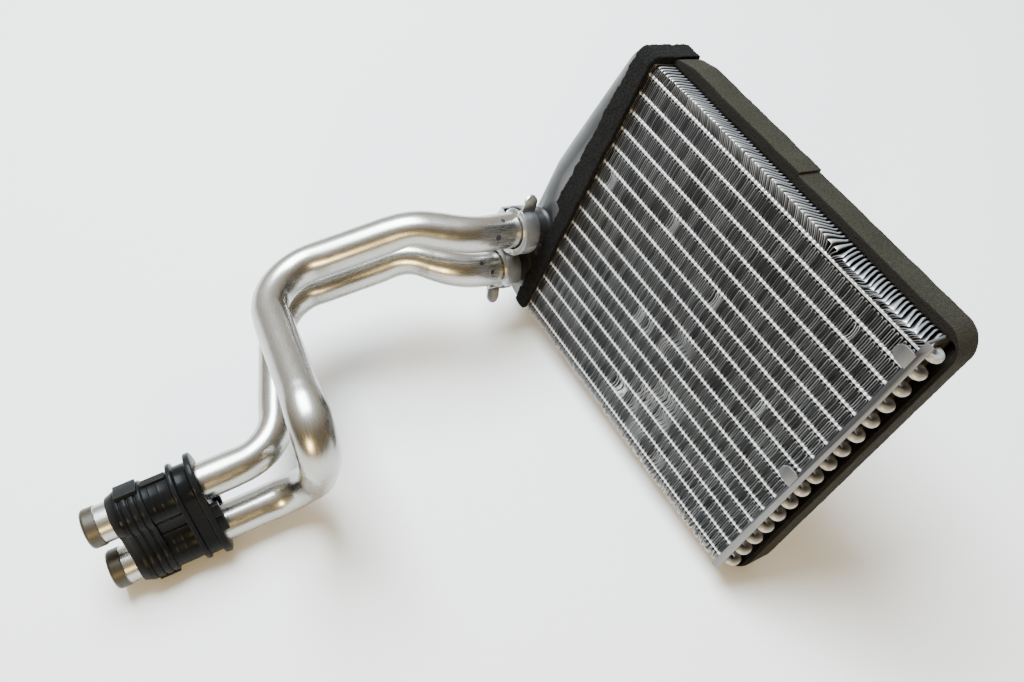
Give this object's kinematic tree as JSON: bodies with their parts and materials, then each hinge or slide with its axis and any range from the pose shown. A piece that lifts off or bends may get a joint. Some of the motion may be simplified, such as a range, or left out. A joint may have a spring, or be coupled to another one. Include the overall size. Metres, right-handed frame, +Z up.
{
  "type": "car heater core",
  "caption": "Used aluminium car heater core with two bent pipes, a black twin pipe connector and foam edge seals.",
  "frame": {"origin": "middle of the footprint, on the surface that the part rests on", "axes": "+X along the tubes towards the return bends, +Y from the pipe ends to the back of the core, +Z up"},
  "size_m": [0.2354, 0.3296, 0.1601],
  "materials": {
    "fin_aluminium": "thin rolled fins, satin, darker in the gaps",
    "tube_aluminium": "dull pale drawn tube",
    "plate_aluminium": "satin sheet, brazed",
    "tank_aluminium": "satin pressed sheet",
    "pipe_aluminium": "bright drawn tube with fine lines along it",
    "clip_steel": "dark grey coated spring steel",
    "seal_rubber": "matte",
    "connector_plastic": "black moulded plastic, faint sheen",
    "black_foam": "open black foam, matte",
    "olive_foam": "dark olive grey foam, matte"
  },
  "bodies": {
    "root": {"header_plate": "plate_aluminium", "end_plate": "plate_aluminium", "tank": "tank_aluminium", "joint_seal_upper": "seal_rubber", "joint_seal_lower": "seal_rubber", "joint_clip_upper": "clip_steel", "joint_clip_lower": "clip_steel", "pipe_upper": "pipe_aluminium", "pipe_lower": "pipe_aluminium", "pipe_connector": "connector_plastic", "edge_foam_top": "olive_foam", "edge_foam_wrap": "olive_foam", "tank_foam": "black_foam", "hairpin_tube_01": "tube_aluminium", "hairpin_tube_02": "tube_aluminium", "hairpin_tube_03": "tube_aluminium", "hairpin_tube_04": "tube_aluminium", "hairpin_tube_05": "tube_aluminium", "hairpin_tube_06": "tube_aluminium", "hairpin_tube_07": "tube_aluminium", "hairpin_tube_08": "tube_aluminium", "hairpin_tube_09": "tube_aluminium", "hairpin_tube_10": "tube_aluminium", "hairpin_tube_11": "tube_aluminium", "hairpin_tube_12": "tube_aluminium", "hairpin_tube_13": "tube_aluminium", "hairpin_tube_14": "tube_aluminium", "hairpin_tube_15": "tube_aluminium", "hairpin_tube_16": "tube_aluminium", "fin_strip_01": "fin_aluminium", "fin_strip_02": "fin_aluminium", "fin_strip_03": "fin_aluminium", "fin_strip_04": "fin_aluminium", "fin_strip_05": "fin_aluminium", "fin_strip_06": "fin_aluminium", "fin_strip_07": "fin_aluminium", "fin_strip_08": "fin_aluminium", "fin_strip_09": "fin_aluminium", "fin_strip_10": "fin_aluminium", "fin_strip_11": "fin_aluminium", "fin_strip_12": "fin_aluminium", "fin_strip_13": "fin_aluminium", "fin_strip_14": "fin_aluminium", "fin_strip_15": "fin_aluminium", "fin_strip_16": "fin_aluminium", "fin_strip_17": "fin_aluminium"}
  },
  "joints": []
}
